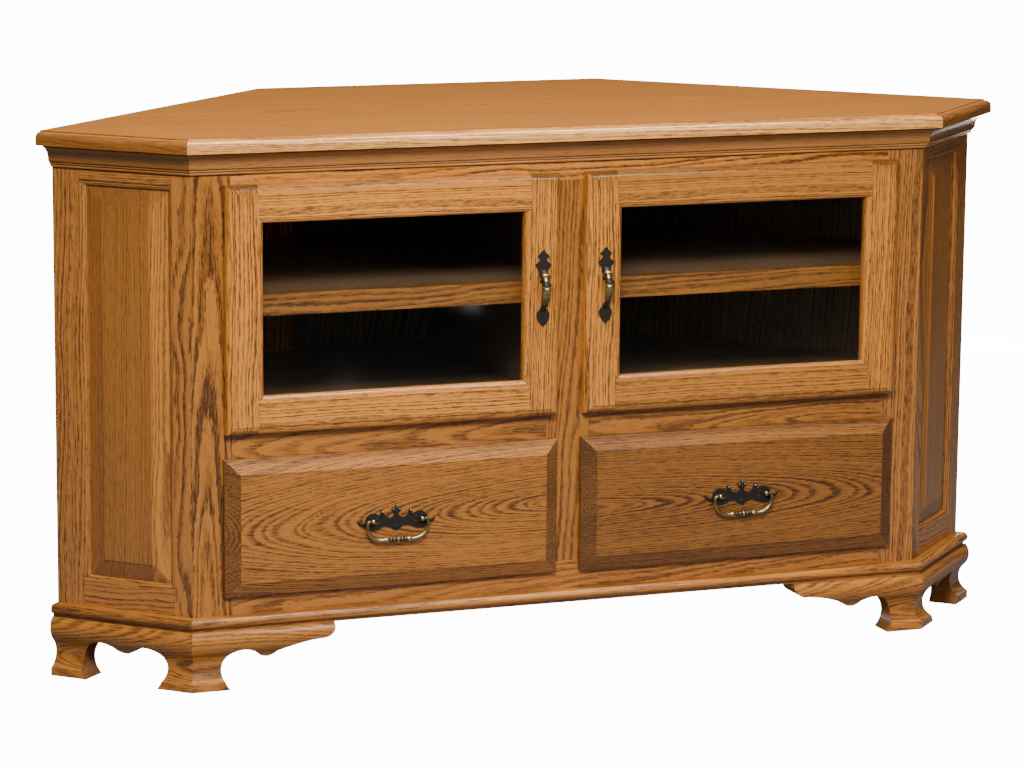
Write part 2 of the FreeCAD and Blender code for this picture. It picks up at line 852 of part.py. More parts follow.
joint_left = pane_left - stick_width
joint_right = pane_right + stick_width
meeting_stile = door_stile(door_left, joint_left, joint_left, pane_left)
hinge_stile = door_stile(joint_right, door_right, pane_right, joint_right)
door_rails = []
for low, high, outer in ((door_low, pane_low, door_low), (pane_high, door_high, door_high)):
    rail = door_frame.common(block(joint_left, joint_right, front_face, front_back, low, high))
    inner = pane_low - glass_rabbet if outer == door_low else pane_high + glass_rabbet
    peg_low = min(outer, inner) + edge_round + edge_ledge
    peg_high = max(outer, inner) - edge_round - edge_ledge
    peg_y = rabbet_y - door_tenon / 2
    for x0 in (joint_left - tenon_length, joint_right):
        peg = block(x0, x0 + tenon_length, peg_y, peg_y + door_tenon, peg_low, peg_high)
        rail = rail.fuse(peg)
        meeting_stile = meeting_stile.cut(peg)
        hinge_stile = hinge_stile.cut(peg)
    door_rails.append(rail.removeSplitter())

pane_lap = glass_rabbet - glass_play
glass = block(
    pane_left - pane_lap, pane_right + pane_lap, rabbet_y, rabbet_y + glass_thickness,
    pane_low - pane_lap, pane_high + pane_lap,
)
bead_y = rabbet_y + glass_thickness
outer_left = pane_left - glass_rabbet
outer_right = pane_right + glass_rabbet
outer_low = pane_low - glass_rabbet
outer_high = pane_high + glass_rabbet
beads = [
    block(outer_left, outer_left + bead_width, bead_y, front_back, outer_low, outer_high),
    block(outer_right - bead_width, outer_right, bead_y, front_back, outer_low, outer_high),
]
for low in (outer_low, outer_high - bead_width):
    beads.append(block(
        outer_left + bead_width, outer_right - bead_width, bead_y, front_back, low, low + bead_width
    ))

# Butt hinges: the knuckle is let into the door's outer edge, the frame leaf wraps the stile
axis_x = door_right - hinge_pin_inset
axis_y = -hinge_pin_forward
frame_leaves = []
door_leaves = []
for middle in (door_low + hinge_from_end, door_high - hinge_from_end):
    low = middle - hinge_height / 2
    high = middle + hinge_height / 2
    notch_room = hinge_knuckle_radius + hinge_notch_room
    notch = block(
        axis_x - notch_room, door_right, axis_y - notch_room, front_back,
        low - hinge_notch_room, high + hinge_notch_room,
    )
    hinge_stile = hinge_stile.cut(notch)
    half_leaf = hinge_leaf / 2
    frame_leaf = block(bay_outer - hinge_leaf, bay_outer, 0, hinge_leaf_wrap, low, high)
    let_in = block(bay_outer - hinge_leaf, axis_x + half_leaf, 0, hinge_leaf, low, high)
    frame_leaf = frame_leaf.fuse(let_in)
    for start in (low, high - hinge_end_knuckle):
        neck = block(
            axis_x - half_leaf, axis_x + half_leaf, axis_y, hinge_leaf,
            start, start + hinge_end_knuckle,
        )
        knuckle = rod(hinge_knuckle_radius, Vector(axis_x, axis_y, start), up, hinge_end_knuckle)
        frame_leaf = frame_leaf.fuse(neck).fuse(knuckle)
    frame_leaf = frame_leaf.fuse(rod(hinge_pin_radius, Vector(axis_x, axis_y, low), up, hinge_height))
    stile = stile.cut(let_in)
    frame_leaves.append(frame_leaf.removeSplitter())
    knuckle_low = low + hinge_end_knuckle + hinge_knuckle_gap
    knuckle_length = hinge_height - 2 * hinge_end_knuckle - 2 * hinge_knuckle_gap
    leaf_end = axis_x - notch_room
    door_leaf = block(leaf_end - hinge_leaf_width, leaf_end, front_back - hinge_leaf, front_back, low, high)
    neck = block(
        leaf_end - hinge_leaf, axis_x - half_leaf, axis_y + hinge_leaf, front_back,
        knuckle_low, knuckle_low + knuckle_length,
    )
    knuckle = rod(hinge_knuckle_radius, Vector(axis_x, axis_y, knuckle_low), up, knuckle_length)
    bore = rod(hinge_pin_radius + hinge_pin_clearance, Vector(axis_x, axis_y, low), up, hinge_height)
    door_leaf = door_leaf.fuse(neck).fuse(knuckle).cut(bore).removeSplitter()
    hinge_stile = hinge_stile.cut(door_leaf)
    door_leaves.append(door_leaf)
keep("hinge_frame_leaves_right", frame_leaves)
keep("hinge_frame_leaves_left", [mirrored(leaf) for leaf in frame_leaves])
keep("face_stile_right", [stile])
keep("face_stile_left", [mirrored(stile)])

# Door pull: a cast bow between a leaf-shaped plate and a spade-shaped plate
pull_x = door_left + (door_member - stick_width + edge_round) / 2
pull_z = (pane_low + pane_high) / 2 + pull_above_middle


def pull_place(across, height):
    return Vector(pull_x + across, front_face, pull_z + height)


plates = []
for turns in (pull_leaf, pull_spade):
    plate_face = outline_face(half_outline(turns), pull_place)
    plates.append(plate_face.extrude(-back * pull_plate))
bow_points = [pull_place(0, height) - back * out for height, out, across, deep in pull_bow]
rings = []
for index, point in enumerate(bow_points):
    before = bow_points[max(index - 1, 0)]
    after = bow_points[min(index + 1, len(bow_points) - 1)]
    over = (after - before).cross(right)
    over.normalize()
    across, deep = pull_bow[index][2:]
    oval = Part.Ellipse(point + right * across, point + over * deep, point)
    rings.append(Part.Wire(oval.toShape()))
bow = Part.makeLoft(rings, True)
collar_way = bow_points[2] - bow_points[0]
collar_way.normalize()
collar = Part.makeCone(
    pull_collar_neck, pull_collar_radius, pull_collar_flare, bow_points[1], collar_way
)
rim_start = bow_points[1] + collar_way * pull_collar_flare
rim = rod(pull_collar_radius, rim_start, collar_way, pull_collar_rim)
ferrule_way = bow_points[4] - bow_points[2]
ferrule_way.normalize()
half_ferrule = pull_ferrule_length / 2
groove_radius = pull_ferrule_radius - pull_ferrule_groove
ferrule_turn = [
    (0, -half_ferrule),
    (groove_radius, -half_ferrule),
    sagged((groove_radius, -half_ferrule), (groove_radius, 0), -pull_ferrule_groove),
    sagged((groove_radius, 0), (groove_radius, half_ferrule), -pull_ferrule_groove),
    (0, half_ferrule),
]
ferrule_face = outline_face(
    ferrule_turn, lambda out, along: bow_points[3] + ferrule_way * along + right * out
)
ferrule = ferrule_face.revolve(bow_points[3], ferrule_way, 360)
behind = block(
    pull_x - pull_collar_radius, pull_x + pull_collar_radius, front_face, front_face + door_member,
    pull_z + pull_spade[-1][1], pull_z + pull_leaf[0][1],
)
cast = bow.fuse([collar, rim, ferrule]).cut(behind)
door_pull = plates[0].fuse([plates[1], cast]).removeSplitter()

door_pieces = {
    "stiles": [meeting_stile, hinge_stile],
    "rails": door_rails,
    "glass": [glass],
    "glass_beads": beads,
    "hinge_leaves": door_leaves,
    "pull": [door_pull],
}
for piece, shapes in door_pieces.items():
    keep("door_right_" + piece, shapes)
    keep("door_left_" + piece, [mirrored(shape) for shape in shapes])

# Drawers: raised overlay front on a box with a grooved bottom
front_left = bay_inner - drawer_overlay
front_right = bay_outer + drawer_overlay
front_low = drawer_opening_bottom - drawer_overlay
front_high = drawer_opening_top + drawer_overlay
drawer_front = edge_block(front_left, front_right, front_low, front_high, [
    (0, front_back),
    (0, front_back - drawer_edge),
    (drawer_bevel, front_face + drawer_step),
    (drawer_bevel, front_face),
])
box_left = bay_inner + slide_width
box_right = bay_outer - slide_width
box_low = (drawer_opening_bottom + drawer_opening_top - drawer_box_height) / 2
box_high = box_low + drawer_box_height
box_back = front_back + drawer_box_depth
bottom_low = box_low + drawer_bottom_rise
bottom_high = bottom_low + drawer_bottom
inner_left = box_left + drawer_side
inner_right = box_right - drawer_side
drawer_panel = block(
    inner_left - drawer_bottom_groove, inner_right + drawer_bottom_groove,
    front_back + drawer_side - drawer_bottom_groove, box_back, bottom_low, bottom_high,
)
drawer_box = [
    block(box_left, inner_left, front_back, box_back, box_low, box_high),
    block(inner_right, box_right, front_back, box_back, box_low, box_high),
    block(inner_left, inner_right, front_back, front_back + drawer_side, box_low, box_high),
    block(inner_left, inner_right, box_back - drawer_side, box_back, bottom_high, box_high),
]
drawer_box = [board.cut(drawer_panel) for board in drawer_box]

# Telescopic slides: the drawer member runs inside the channel on the cabinet
slide_middle = (box_low + box_high) / 2
slide_front = frame_thickness + slide_front_inset
slide_back = slide_front + slide_length


def channel(x, way, half_height, flange, y0, y1):
    web = sorted((x, x + way * slide_wall))
    lips = sorted((x, x + way * flange))
    low = slide_middle - half_height
    high = slide_middle + half_height
    shape = block(web[0], web[1], y0, y1, low, high)
    shape = shape.fuse(block(lips[0], lips[1], y0, y1, low, low + slide_wall))
    return shape.fuse(block(lips[0], lips[1], y0, y1, high - slide_wall, high)).removeSplitter()


half_slide = slide_height / 2
half_inner = half_slide - slide_wall - slide_play
cabinet_members = [
    channel(bay_inner, 1, half_slide, slide_flange, slide_front, slide_back),
    channel(bay_outer, -1, half_slide, slide_flange, slide_front, slide_back),
]
drawer_members = [
    channel(box_left, -1, half_inner, slide_flange, slide_front, slide_back),
    channel(box_right, 1, half_inner, slide_flange, slide_front, slide_back),
]
keep("slide_cabinet_members", [solid for member in cabinet_members for solid in pair(member)])
packer = block(
    half_partition, bay_inner, frame_thickness, slide_back,
    slide_middle - packer_height / 2, slide_middle + packer_height / 2,
)
divider_outer = bay_outer + board_thickness
divider_along = cant_length - back_thickness - divider_back_gap
divider_back = (divider_along + (half_front - divider_outer) * cant_along.x) / cant_along.y
divider = block(
    bay_outer, divider_outer, frame_thickness, divider_back, floor_top, deck_bottom,
)
keep("slide_supports", pair(packer) + pair(divider))

# Drawer pull: a shaped backplate, two posts bored for the bail's ends, and the bail itself
handle_x = bay_middle
handle_z = (front_low + front_high) / 2
plate_front = front_face - plate_thickness
bail_y = plate_front - bail_axis_forward
half_posts = post_spacing / 2
handle_plate = outline_face(
    half_outline(plate_outline), lambda u, v: Vector(handle_x + u, front_face, handle_z + v)
).extrude(-back * plate_thickness)
head_out = post_reach - post_head_radius
head_start = math.acos(post_radius / post_head_radius)
post_turn = [
    (0, 0),
    (post_radius, 0),
    (post_radius, head_out - post_head_radius * math.sin(head_start)),
    turned((0, head_out), post_head_radius, -math.degrees(head_start), 90),
]
for side in (-1, 1):
    foot = Vector(handle_x + side * half_posts, plate_front, handle_z)
    post_side = outline_face(post_turn, lambda radius, out: foot + up * radius - back * out)
    post = post_side.revolve(foot, back, 360)
    bore_start = foot - back * bail_axis_forward - right * 2 * post_head_radius
    bore = rod(bail_pin_radius + bail_pin_clearance, bore_start, right, 4 * post_head_radius)
    handle_plate = handle_plate.fuse(post).cut(bore)
handle_plate = handle_plate.removeSplitter()


def bail_place(u, v):
    return Vector(handle_x + u, bail_y, handle_z + v)


bail_low = -bail_drop
run_in = bail_half_width - bail_shoulder
low_run = bail_half_width - bail_corner
pin_run = run_in - half_posts + post_head_radius / 2
low_nodes = [(-low_run, 0), (-low_run, bail_radius)]
left_rings = [(-middle, half, rise) for middle, half, rise in reversed(bail_rings[1:])]
for middle, half, rise in left_rings + bail_rings:
    ring_start = (middle - half, bail_radius)
    low_nodes.append(ring_start)
    low_nodes.append(sagged(ring_start, (middle + half, bail_radius), rise))
low_nodes += [(low_run, bail_radius), (low_run, 0)]
low_face = outline_face(low_nodes, lambda u, v: bail_place(u, bail_low + v))
bail = low_face.revolve(bail_place(0, bail_low), right, 360)


def quarter_ring(side, height, centre_x, turn):
    section = Part.Wire(Part.makeCircle(bail_radius, bail_place(side * bail_half_width, height), up))
    return Part.Face(section).revolve(bail_place(side * centre_x, height), back, side * turn)


for side in (-1, 1):
    knee = bail_low + bail_corner
    arm = rod(bail_radius, bail_place(side * bail_half_width, knee), up, -bail_shoulder - knee)
    corner = quarter_ring(side, knee, low_run, 90)
    shoulder = quarter_ring(side, -bail_shoulder, run_in, -90)
    pin = rod(bail_pin_radius, bail_place(side * run_in, 0), -right * side, pin_run)
    bail = bail.fuse([arm, corner, shoulder, pin])
bail = bail.removeSplitter()

drawer_pieces = {
    "front": [drawer_front],
    "box": drawer_box,
    "bottom": [drawer_panel],
    "slide_members": drawer_members,
    "pull_plate": [handle_plate],
    "bail": [bail],
}
for piece, shapes in drawer_pieces.items():
    keep("drawer_right_" + piece, shapes)
    keep("drawer_left_" + piece, [mirrored(shape) for shape in shapes])

# Origin in the middle of the floor area, and one file for each piece
front_reach = max(
    top_overhang,
    -front_face + max(out for height, out, across, deep in pull_bow) + pull_ferrule_radius,
    -plate_front + post_reach,
)
back_reach = carcase_depth + top_back_overhang
shift = Vector(0, (front_reach - back_reach) / 2, 0)
os.makedirs("parts", exist_ok=True)
for name, shape in parts.items():
    shape.translate(shift)
    shape.exportStep("parts/" + name + ".step")
print(len(parts), "nodes, origin moved by", round(shift.y, 3))
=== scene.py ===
import math

import bpy
from mathutils import Matrix, Vector


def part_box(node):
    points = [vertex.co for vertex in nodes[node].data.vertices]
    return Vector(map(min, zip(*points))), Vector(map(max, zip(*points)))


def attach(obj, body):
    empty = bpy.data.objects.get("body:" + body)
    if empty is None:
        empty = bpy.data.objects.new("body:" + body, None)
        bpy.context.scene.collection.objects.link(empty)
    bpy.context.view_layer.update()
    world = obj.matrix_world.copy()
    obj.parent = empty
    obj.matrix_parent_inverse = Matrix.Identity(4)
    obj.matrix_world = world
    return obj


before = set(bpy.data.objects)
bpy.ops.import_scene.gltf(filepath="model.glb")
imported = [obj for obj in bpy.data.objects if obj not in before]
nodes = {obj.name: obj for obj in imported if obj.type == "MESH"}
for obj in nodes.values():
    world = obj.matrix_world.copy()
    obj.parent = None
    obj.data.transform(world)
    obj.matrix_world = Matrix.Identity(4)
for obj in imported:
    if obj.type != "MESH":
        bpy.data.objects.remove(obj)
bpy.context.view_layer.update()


# Bracket feet. Each foot is two ogee brackets of solid oak, mitred on the cabinet's front corner and glued
# under the base board; plain oak blocks carry the back. The oak is flat sawn, stained honey and lacquered
# satin, and each board has its own cut from the log.
def put(tree, kind, inputs=None, **settings):
    node = tree.nodes.new("ShaderNode" + kind)
    for name, value in settings.items():
        setattr(node, name, value)
    for name, value in (inputs or {}).items():
        if isinstance(value, bpy.types.NodeSocket):
            tree.links.new(value, node.inputs[name])
        else:
            node.inputs[name].default_value = value
    return node


def calc(tree, operation, *values):
    return put(tree, "Math", dict(enumerate(values)), operation=operation).outputs[0]


def aim(tree, operation, *values):
    return put(tree, "VectorMath", dict(enumerate(values)), operation=operation).outputs[0]


def ramp(tree, value, low, high, start, end):
    inputs = {"Value": value, "From Min": low, "From Max": high, "To Min": start, "To Max": end}
    return put(tree, "MapRange", inputs, interpolation_type="SMOOTHSTEP").outputs["Result"]


def stretched(tree, vector, stretch, detail):
    scaled = aim(tree, "MULTIPLY", vector, stretch)
    return put(tree, "TexNoise", {"Vector": scaled, "Scale": 1.0, "Detail": detail})


def mixed(tree, factor, one, other):
    inputs = {0: factor, 6: one, 7: other}
    return put(tree, "Mix", inputs, data_type="RGBA", clamp_factor=True).outputs[2]


def new_group(name, inputs, outputs):
    tree = bpy.data.node_groups.new(name, "ShaderNodeTree")
    for direction, sockets in (("INPUT", inputs), ("OUTPUT", outputs)):
        for socket, kind in sockets:
            tree.interface.new_socket(socket, in_out=direction, socket_type="NodeSocket" + kind)
    return tree, tree.nodes.new("NodeGroupInput"), tree.nodes.new("NodeGroupOutput")


oak_grain, board, figure = new_group(
    "oak_grain",
    [
        ("Vector", "Vector"), ("Lean", "Vector"), ("Ring", "Float"), ("Wander", "Float"), ("End", "Float"),
        ("Pale", "Color"), ("Dark", "Color"),
    ],
    [("Color", "Color"), ("Roughness", "Float"), ("Height", "Float")],
)
in_board = board.outputs["Vector"]


def swung(vector, stretch, reach):
    drift = stretched(oak_grain, in_board, stretch, 2.0).outputs["Color"]
    swing = put(oak_grain, "VectorMath", {
        0: aim(oak_grain, "SUBTRACT", drift, (0.5, 0.5, 0.5)), "Scale": reach,
    }, operation="SCALE").outputs[0]
    return aim(oak_grain, "ADD", vector, swing)


along_board = put(oak_grain, "SeparateXYZ", {0: in_board}).outputs["X"]
leaned = put(oak_grain, "VectorMath", {0: board.outputs["Lean"], "Scale": along_board}, operation="SCALE")
grown = swung(aim(oak_grain, "ADD", in_board, leaned.outputs[0]), (3, 9, 9), board.outputs["Wander"])
grown = swung(grown, (10, 40, 40), 0.0016)
in_section = aim(oak_grain, "MULTIPLY", grown, (0, 1, 1))
from_heart = put(oak_grain, "VectorMath", {0: in_section}, operation="LENGTH").outputs["Value"]
years = calc(oak_grain, "DIVIDE", from_heart, board.outputs["Ring"])
ragged = stretched(oak_grain, in_board, (90, 520, 520), 2.0).outputs["Fac"]
seasons = put(oak_grain, "TexNoise", {"W": years, "Scale": 0.37, "Detail": 1.0}, noise_dimensions="1D")
age = calc(oak_grain, "MULTIPLY_ADD", seasons.outputs["Fac"], 2.2, years)
age = calc(oak_grain, "MULTIPLY_ADD", ragged, 0.55, age)
season = calc(oak_grain, "FRACT", age)
year = put(oak_grain, "TexWhiteNoise", {"W": calc(oak_grain, "FLOOR", age)}, noise_dimensions="1D")
strength = calc(oak_grain, "MULTIPLY_ADD", year.outputs["Value"], 0.5, 0.5)
spring = ramp(oak_grain, season, 0.0, 0.1, 0.0, 1.0)
summer = ramp(oak_grain, season, 0.25, 0.75, 1.0, 0.0)
early = calc(oak_grain, "MULTIPLY", calc(oak_grain, "MULTIPLY", spring, summer), strength)
dash = stretched(oak_grain, in_board, (50, 560, 560), 2.0).outputs["Fac"]
dash = ramp(oak_grain, dash, 0.45, 0.62, 0.0, 1.0)
pore = stretched(oak_grain, in_board, (170, 1000, 1000), 1.0).outputs["Fac"]
pore = ramp(oak_grain, pore, 0.5, 0.64, 0.0, 1.0)
pitted = calc(oak_grain, "MULTIPLY", pore, calc(oak_grain, "MULTIPLY_ADD", early, 0.6, 0.4))
cloud = stretched(oak_grain, in_board, (3, 16, 16), 2.0).outputs["Fac"]
across_grain = ramp(oak_grain, board.outputs["End"], 0.1, 0.34, 0.0, 1.0)
stain = calc(oak_grain, "MULTIPLY", early, calc(oak_grain, "MULTIPLY_ADD", dash, 0.3, 0.72))
stain = calc(oak_grain, "MULTIPLY", stain, calc(oak_grain, "MULTIPLY_ADD", across_grain, -0.5, 1.0))
stain = calc(oak_grain, "MULTIPLY_ADD", dash, 0.3, stain)
stain = calc(oak_grain, "MULTIPLY_ADD", pitted, 0.34, stain)
stain = calc(oak_grain, "MULTIPLY_ADD", across_grain, 0.55, stain)
stain = calc(oak_grain, "ADD", stain, calc(oak_grain, "MULTIPLY_ADD", cloud, 0.7, -0.42))
shade = mixed(oak_grain, stain, board.outputs["Pale"], board.outputs["Dark"])
oak_grain.links.new(shade, figure.inputs["Color"])
oak_grain.links.new(calc(oak_grain, "MULTIPLY_ADD", pitted, 0.16, 0.32), figure.inputs["Roughness"])
oak_grain.links.new(calc(oak_grain, "MULTIPLY", pitted, -1.0), figure.inputs["Height"])

honey = (0.55, 0.200, 0.031)
brown = (0.105, 0.036, 0.0085)


def new_finish(name):
    material = bpy.data.materials.new(name)
    material.use_nodes = True
    return material, material.node_tree, material.node_tree.nodes["Principled BSDF"]


def sawn(
    tree, grain, heart, lean=(0, 0, 0), ring=0.0042, wander=0.02, tint=1.0, pale=honey, dark=brown,
    both=False,
):
    turn = Vector(grain).rotation_difference(Vector((1, 0, 0)))
    place = put(tree, "TexCoord")
    point = place.outputs["Object"]
    mirror = Vector((0, 0, 0))
    if both:
        mirror = Vector((0, 1, 0))
        point = aim(tree, "ABSOLUTE", aim(tree, "ADD", point, mirror))
    axis = put(tree, "Mapping", {
        "Vector": point,
        "Location": -(turn @ (Vector(heart) + mirror)),
        "Rotation": turn.to_euler(),
    })
    cut = {0: place.outputs["Normal"], 1: Vector(grain).normalized()}
    end = put(tree, "VectorMath", cut, operation="DOT_PRODUCT").outputs["Value"]
    return put(tree, "Group", {
        "Vector": axis.outputs["Vector"],
        "Lean": lean,
        "Ring": ring,
        "Wander": wander,
        "End": calc(tree, "ABSOLUTE", end),
        "Pale": (*(tint * part for part in pale), 1),
        "Dark": (*(tint * part for part in dark), 1),
    }, node_tree=oak_grain)


def lacquer(tree, shader, color, roughness, height):
    bump = put(tree, "Bump", {"Strength": 0.35, "Distance": 0.0003, "Height": height})
    tree.links.new(color, shader.inputs["Base Color"])
    tree.links.new(roughness, shader.inputs["Roughness"])
    tree.links.new(bump.outputs["Normal"], shader.inputs["Normal"])
    shader.inputs["Specular IOR Level"].default_value = 0.3
    shader.inputs["Coat Weight"].default_value = 0.6
    shader.inputs["Coat Roughness"].default_value = 0.1


def oak(name, *cut, **looks):
    material, tree, shader = new_finish(name)
    grain = sawn(tree, *cut, **looks)
    lacquer(tree, shader, grain.outputs["Color"], grain.outputs["Roughness"], grain.outputs["Height"])
    return material


def dress(material, *names):
    for name in names:
        for holder in nodes[name].material_slots:
            holder.material = material


soft_brown = (0.15, 0.053, 0.013)
dress(oak(
    "oak_foot_front_left", (1, 0, 0), (-0.5, -0.24, 0.0), (0, 0.1, 0.12), dark=soft_brown
), "bracket_front_left")
dress(oak(
    "oak_foot_front_right", (1, 0, 0), (0.5, -0.24, 0.02), (0, 0.08, -0.1), dark=soft_brown
), "bracket_front_right")
dress(oak(
    "oak_foot_side_left", (-1, 1, 0), (-0.6, -0.16, 0.02), (0, 0.1, 0.1), dark=soft_brown
), "bracket_side_left")
dress(oak(
    "oak_foot_side_right", (1, 1, 0), (0.6, -0.16, 0.0), (0, 0.1, 0.1), dark=soft_brown
), "bracket_side_right")
dress(oak("oak_foot_rear", (0, 0, 1), (0.2, 0.2, 0.0)), "rear_feet")

# Base boards. A solid oak board with a rounded nose runs round the front and both canted sides, mitred at
# the corners, and the carcase stands on it.
dress(oak(
    "oak_base_front", (1, 0, 0), (0.0, -0.18, 0.02), (0, 0.01, 0.01), ring=0.0034, dark=soft_brown
), "base_board_front")
dress(oak("oak_base_ends", (1, 1, 0), (0.6, -0.03, 0.02), both=True), "base_board_ends")

# Decks, partitions and slide dividers. The decks and the middle partition are veneered plywood housed in the
# sides, coloured dark brown as painted shade where they show behind the glass; the dividers for the drawer
# slides are oak.
# Painted shade: dark browns that stand in for the shade inside the cabinet behind the glass.
painted_shade_pale = (0.20, 0.125, 0.068)
painted_shade_dark = (0.085, 0.050, 0.027)
painted_shade_ply = oak("interior_plywood", (1, 0, 0), (0.0, 0.05, 0.26), (0, 0.05, 0.05), pale=painted_shade_pale, dark=painted_shade_dark)
dress(painted_shade_ply, "middle_deck", "centre_partitions")
dress(oak("oak_decks", (1, 0, 0), (0.0, 0.05, 0.26)), "bottom_deck", "top_cleats")
dress(oak("oak_dividers", (0, 0, 1), (0.05, 0.03, 0.3)), "slide_supports", "back_corner_posts")

# Canted sides. Each side is a frame of two stiles and two rails, tenoned together, round a raised panel of
# solid oak that floats in the frame's groove. The panel's front bevel is coloured paler as a painted
# highlight.
umber = {"pale": (0.52, 0.198, 0.040), "dark": (0.105, 0.039, 0.013)}
bevel_highlight_pale = (0.70, 0.270, 0.050)
tawny = (0.24, 0.088, 0.018)
diagonal = math.sqrt(0.5)
for side, sign, share, tint in (("left", -1, 0.8, 0.79), ("right", 1, 0.3, 0.86)):
    dress(oak(
        f"oak_side_stiles_{side}", (0, 0, 1), (sign * 0.42, -0.08, 0.3), (0, 0.01, 0.01), ring=0.003, **umber
    ), f"side_stiles_{side}")
    dress(oak(
        f"oak_side_rails_{side}", (sign, 1, 0), (sign * 0.5, -0.08, 0.2), ring=0.0032, **umber
    ), f"side_rails_{side}")
    panel, tree, shader = new_finish(f"oak_side_panel_{side}")
    rift = sawn(
        tree, (0, 0, 1), (sign * 0.315, -0.235, 0.3), (0, 0.01, 0.01), ring=0.0022, tint=tint,
        pale=umber["pale"], dark=tawny,
    )
    # Painted highlight: a paler copy of the grain on the front bevel, strong on the left panel, faint on the
    # right.
    bevel_highlight = sawn(tree, (0, 0, 1), (sign * 0.58, -0.23, 0.3), (0, 0.05, 0.02), pale=bevel_highlight_pale, dark=tawny)
    panel_low, panel_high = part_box(f"side_panel_{side}")
    front_edge = Vector((panel_high[0] if sign < 0 else panel_low[0], panel_low[1], 0))
    point = put(tree, "TexCoord").outputs["Object"]
    inset = put(tree, "VectorMath", {
        0: aim(tree, "SUBTRACT", point, front_edge), 1: (sign * diagonal, diagonal, 0),
    }, operation="DOT_PRODUCT").outputs["Value"]
    uneven = stretched(tree, point, (40, 40, 6), 2.0).outputs["Fac"]
    inset = calc(tree, "MULTIPLY_ADD", uneven, 0.008, inset)
    on_lit_bevel = ramp(tree, inset, 0.041, 0.046, share, 0.0)
    lacquer(
        tree, shader, mixed(tree, on_lit_bevel, rift.outputs["Color"], bevel_highlight.outputs["Color"]),
        rift.outputs["Roughness"], rift.outputs["Height"],
    )
    dress(panel, f"side_panel_{side}")

# Back panels. Three sheets of plywood close the back, one across it and one down each wall of the room
# corner, held to the decks and corner posts by round-headed screws. Their inside is coloured dark as painted
# shade.
back_ply, tree, shader = new_finish("back_plywood")
# Painted shade: the inside face takes the dark browns that stand in for the shade inside the cabinet.
inside = sawn(tree, (0, 0, 1), (0.0, 0.1, 0.4), (0, 0.05, 0.05), pale=painted_shade_pale, dark=painted_shade_dark)
raw = {"pale": (0.46, 0.27, 0.125), "dark": (0.25, 0.135, 0.058)}
outside = sawn(tree, (0, 0, 1), (0.0, 0.1, 0.4), (0, 0.02, 0.02), ring=0.006, wander=0.05, **raw)
facing = put(tree, "SeparateXYZ", {0: put(tree, "TexCoord").outputs["Normal"]})
outward = ramp(tree, facing.outputs["Y"], 0.3, 0.6, 0.0, 1.0)
rough_sawn = calc(tree, "MULTIPLY_ADD", outward, 0.35, outside.outputs["Roughness"])
lacquer(
    tree, shader, mixed(tree, outward, inside.outputs["Color"], outside.outputs["Color"]),
    rough_sawn, outside.outputs["Height"],
)
shader.inputs["Coat Weight"].default_value = 0.0
dress(back_ply, "back_panel_centre", "back_panels_angled")

zinc, tree, shader = new_finish("zinc_steel")
place = put(tree, "TexCoord").outputs["Object"]
rolled = stretched(tree, place, (300, 12, 900), 2.0).outputs["Fac"]
bloom = stretched(tree, place, (60, 60, 60), 3.0).outputs["Fac"]
dulled = calc(tree, "MULTIPLY_ADD", rolled, 0.5, calc(tree, "MULTIPLY", bloom, 0.5))
fresh_zinc = (0.66, 0.67, 0.68, 1)
dull_zinc = (0.36, 0.37, 0.39, 1)
tree.links.new(mixed(tree, dulled, fresh_zinc, dull_zinc), shader.inputs["Base Color"])
tree.links.new(ramp(tree, dulled, 0.3, 0.7, 0.28, 0.45), shader.inputs["Roughness"])
shader.inputs["Metallic"].default_value = 1.0


def pick(piece, test):
    bpy.ops.object.mode_set(mode="EDIT")
    bpy.ops.mesh.select_mode(type="FACE")
    bpy.ops.mesh.select_all(action="DESELECT")
    bpy.ops.object.mode_set(mode="OBJECT")
    for face in piece.data.polygons:
        face.select = test(face)
    bpy.ops.object.mode_set(mode="EDIT")


head_radius = 0.0034
head_rise = 0.0014
head_round = 0.0011
slot_width = 0.0007
slot_stretch = 5
bpy.ops.object.select_all(action="DESELECT")
bpy.ops.mesh.primitive_cylinder_add(
    vertices=20, radius=head_radius, depth=2 * head_rise, end_fill_type="NGON"
)
screw_head = bpy.context.object
pick(screw_head, lambda face: face.normal.z > 0.9)
bpy.ops.mesh.bevel(offset=head_round, segments=3, affect="EDGES")
bpy.ops.object.mode_set(mode="OBJECT")
bpy.ops.mesh.primitive_cube_add(size=slot_width, location=(0, 0, head_rise))
driver = bpy.context.object
pick(driver, lambda face: abs(face.normal.x) > 0.9)
bpy.ops.transform.resize(value=(slot_stretch, 1, 1))
bpy.ops.object.mode_set(mode="OBJECT")
cross = driver.copy()
cross.data = driver.data.copy()
bpy.context.scene.collection.objects.link(cross)
cross.data.transform(Matrix.Rotation(math.radians(90), 4, "Z"))
for tool in (driver, cross):
    recess = screw_head.modifiers.new("recess", "BOOLEAN")
    recess.operation = "DIFFERENCE"
    recess.object = tool
    bpy.context.view_layer.objects.active = screw_head
    bpy.ops.object.modifier_apply(modifier="recess")
    bpy.data.objects.remove(tool)


def drive(name, places, body, finish):
    driven = []
    for spot, facing in places:
        head = screw_head.copy()
        head.data = screw_head.data.copy()
        bpy.context.scene.collection.objects.link(head)
        turn = Vector((0, 0, 1)).rotation_difference(Vector(facing))
        head.data.transform(Matrix.Translation(spot) @ turn.to_matrix().to_4x4())
        head.data.materials.append(finish)
        driven.append(head)
    bpy.ops.object.select_all(action="DESELECT")
    for head in driven:
        head.select_set(True)
    bpy.context.view_layer.objects.active = driven[0]
    bpy.ops.object.join()
    driven[0].name = name
    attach(driven[0], body)


